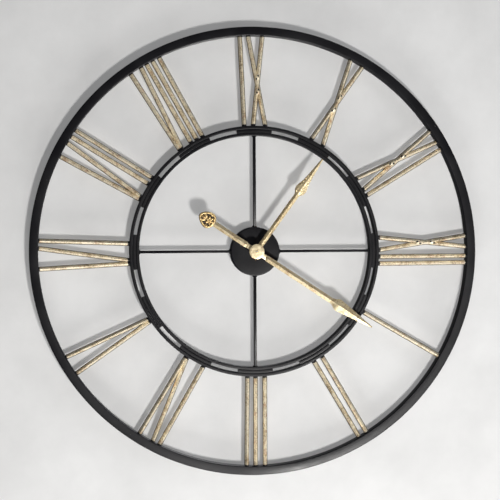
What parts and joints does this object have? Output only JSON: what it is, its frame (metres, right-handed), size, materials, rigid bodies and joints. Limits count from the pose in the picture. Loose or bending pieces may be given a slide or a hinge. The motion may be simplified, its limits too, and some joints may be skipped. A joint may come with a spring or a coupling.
{
  "type": "wall clock",
  "caption": "Large skeleton wall clock: black steel rings and spokes, folded gilt Roman numerals, ridged gilt hands and a battery quartz movement in a hub cup.",
  "frame": {"origin": "on the hand axis, at the wall plane that the rubber bumpers rest on", "axes": "+Z towards XII, +X towards III, +Y into the wall, so the dial faces -Y"},
  "size_m": [0.7999, 0.0584, 0.8],
  "materials": {
    "black_steel": "satin powder coat, worn to grey at the edges",
    "gilt": "distressed gold leaf over a dark ground",
    "gilt_hands": "pale gold paint, hammered on the hour hand",
    "rubber": "matte",
    "case_plastic": "moulded, fine texture",
    "gear_plastic": "natural acetal",
    "brass": "turned",
    "steel": "ground",
    "magnet": "sintered",
    "copper": "enamelled wire",
    "board": "solder mask",
    "chip": "moulded",
    "battery_wrap": "plain printed sleeve"
  },
  "bodies": {
    "frame": {"battery_contact_negative": "steel", "battery_contact_positive": "steel", "circuit_board": "board", "coil_bobbin": "case_plastic", "coil_winding": "copper", "driver_chip": "chip", "fixing_nut": "brass", "fixing_washer": "brass", "hanger_plate": "black_steel", "hub_cup": "black_steel", "inner_ring_inner_band": "black_steel", "inner_ring_outer_band": "black_steel", "movement_bushing": "brass", "movement_case_back": "case_plastic", "movement_case_front": "case_plastic", "numeral_eight": "gilt", "numeral_eleven": "gilt", "numeral_five": "gilt", "numeral_four": "gilt", "numeral_nine": "gilt", "numeral_one": "gilt", "numeral_seven": "gilt", "numeral_six": "gilt", "numeral_ten": "gilt", "numeral_three": "gilt", "numeral_twelve": "gilt", "numeral_two": "gilt", "outer_ring": "black_steel", "quartz_crystal": "steel", "ring_spacers": "black_steel", "rubber_gasket": "rubber", "spoke_nine": "black_steel", "spoke_six": "black_steel", "spoke_three": "black_steel", "spoke_twelve": "black_steel", "stator": "steel", "train_bridge": "gear_plastic", "wall_bumpers": "rubber"},
    "minute_hand": {"minute_hand": "gilt_hands", "minute_hand_collet": "brass", "tail_ornament": "gilt_hands", "boss_cap": "gilt_hands", "cap_nut": "brass", "minute_arbor": "steel", "centre_wheel": "gear_plastic"},
    "hour_hand": {"hour_hand": "gilt_hands", "hour_hand_collet": "brass", "hour_wheel": "gear_plastic"},
    "minute_wheel": {"minute_wheel": "gear_plastic", "setting_knob": "case_plastic"},
    "third_wheel": {"third_wheel": "gear_plastic"},
    "second_wheel": {"second_wheel": "gear_plastic"},
    "intermediate_wheel": {"intermediate_wheel": "gear_plastic"},
    "rotor": {"rotor_magnet": "magnet", "rotor_pinion": "gear_plastic"},
    "battery": {"battery": "battery_wrap"}
  },
  "joints": [
    {"name": "minute_hand_turn", "type": "hinge", "parent": "frame", "child": "minute_hand", "pos_m": [0, 0, 0], "axis": [0, 1, 0], "continuous": true},
    {"name": "hour_hand_turn", "type": "hinge", "parent": "frame", "child": "hour_hand", "pos_m": [0, 0, 0], "axis": [0, 1, 0], "continuous": true},
    {"name": "setting_knob_turn", "type": "hinge", "parent": "frame", "child": "minute_wheel", "pos_m": [0.00806, 0, 0.00806], "axis": [0, 1, 0], "continuous": true},
    {"name": "third_wheel_turn", "type": "hinge", "parent": "frame", "child": "third_wheel", "pos_m": [-0.00935, 0, 0.0054], "axis": [0, 1, 0], "continuous": true},
    {"name": "second_wheel_turn", "type": "hinge", "parent": "frame", "child": "second_wheel", "pos_m": [-0.01089, 0, 0.01411], "axis": [0, 1, 0], "continuous": true},
    {"name": "intermediate_wheel_turn", "type": "hinge", "parent": "frame", "child": "intermediate_wheel", "pos_m": [-0.00365, 0, 0.01674], "axis": [0, 1, 0], "continuous": true},
    {"name": "rotor_turn", "type": "hinge", "parent": "frame", "child": "rotor", "pos_m": [0.00131, 0, 0.01854], "axis": [0, 1, 0], "continuous": true},
    {"name": "battery_out", "type": "slide", "parent": "frame", "child": "battery", "axis": [0, 1, 0], "range_m": [0, 0.025]}
  ],
  "couplings": [
    {"joint": "hour_hand_turn", "follows": "minute_hand_turn", "ratio": 0.083333},
    {"joint": "setting_knob_turn", "follows": "minute_hand_turn", "ratio": -0.33333},
    {"joint": "third_wheel_turn", "follows": "minute_hand_turn", "ratio": -8},
    {"joint": "second_wheel_turn", "follows": "minute_hand_turn", "ratio": 60},
    {"joint": "intermediate_wheel_turn", "follows": "minute_hand_turn", "ratio": -360},
    {"joint": "rotor_turn", "follows": "minute_hand_turn", "ratio": 1800}
  ]
}
